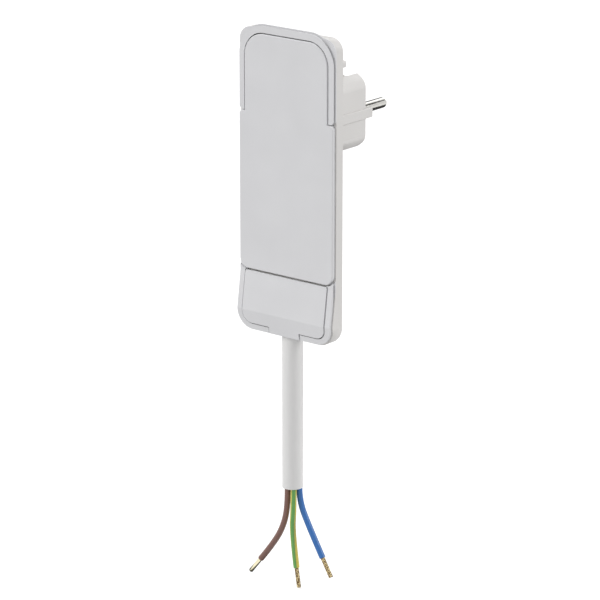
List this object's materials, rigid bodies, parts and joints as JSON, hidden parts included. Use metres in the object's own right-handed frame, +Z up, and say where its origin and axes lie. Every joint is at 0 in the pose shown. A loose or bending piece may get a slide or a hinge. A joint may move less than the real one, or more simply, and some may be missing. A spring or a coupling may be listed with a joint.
{
  "type": "schuko plug",
  "caption": "Flat tall mains plug plate with a recessed-socket insert behind it, a rocking pull handle, a wedge cable cover and a round cord stripped to its cores.",
  "frame": {"origin": "midway between the pins on the insert's engagement face", "axes": "+Y the way the pins point, +Z up along the plate, +X to the right of someone who faces the plug in the wall"},
  "size_m": [0.0536, 0.0459, 0.2586],
  "materials": {
    "shell_white": "moulded, fine satin",
    "front_white": "moulded, fine satin",
    "carrier_white": "moulded, plain",
    "nickel": "nickel plated, satin polished",
    "brass": "plain stamped",
    "spring_strip": "nickel plated strip",
    "zinc_steel": "zinc plated",
    "jacket_white": "soft satin",
    "core_brown": "satin",
    "core_blue": "satin",
    "core_green_yellow": "satin, yellow stripe"
  },
  "bodies": {
    "housing": {"base_shell": "shell_white", "front_frame": "front_white", "cable_cover": "front_white", "lead_cover": "carrier_white", "contact_carrier": "carrier_white", "line_pin": "nickel", "neutral_pin": "nickel", "line_ferrule": "brass", "neutral_ferrule": "brass", "earth_bracket": "spring_strip", "earth_terminal": "brass", "earth_rivet": "brass", "line_lead": "core_brown", "neutral_lead": "core_blue", "earth_lead": "core_green_yellow", "cord_clamp": "zinc_steel", "clamp_screws": "zinc_steel", "cover_screws": "zinc_steel", "cord_jacket": "jacket_white", "line_core": "core_brown", "neutral_core": "core_blue", "earth_core": "core_green_yellow", "line_core_end": "brass", "neutral_core_end": "brass", "earth_core_end": "brass"},
    "handle": {"handle_panel": "front_white"}
  },
  "joints": [
    {"name": "handle_rocker", "type": "hinge", "parent": "housing", "child": "handle", "pos_m": [-0.0117, -0.0211, -0.0022], "axis": [-1, 0, 0], "range_deg": [0, 5]}
  ]
}
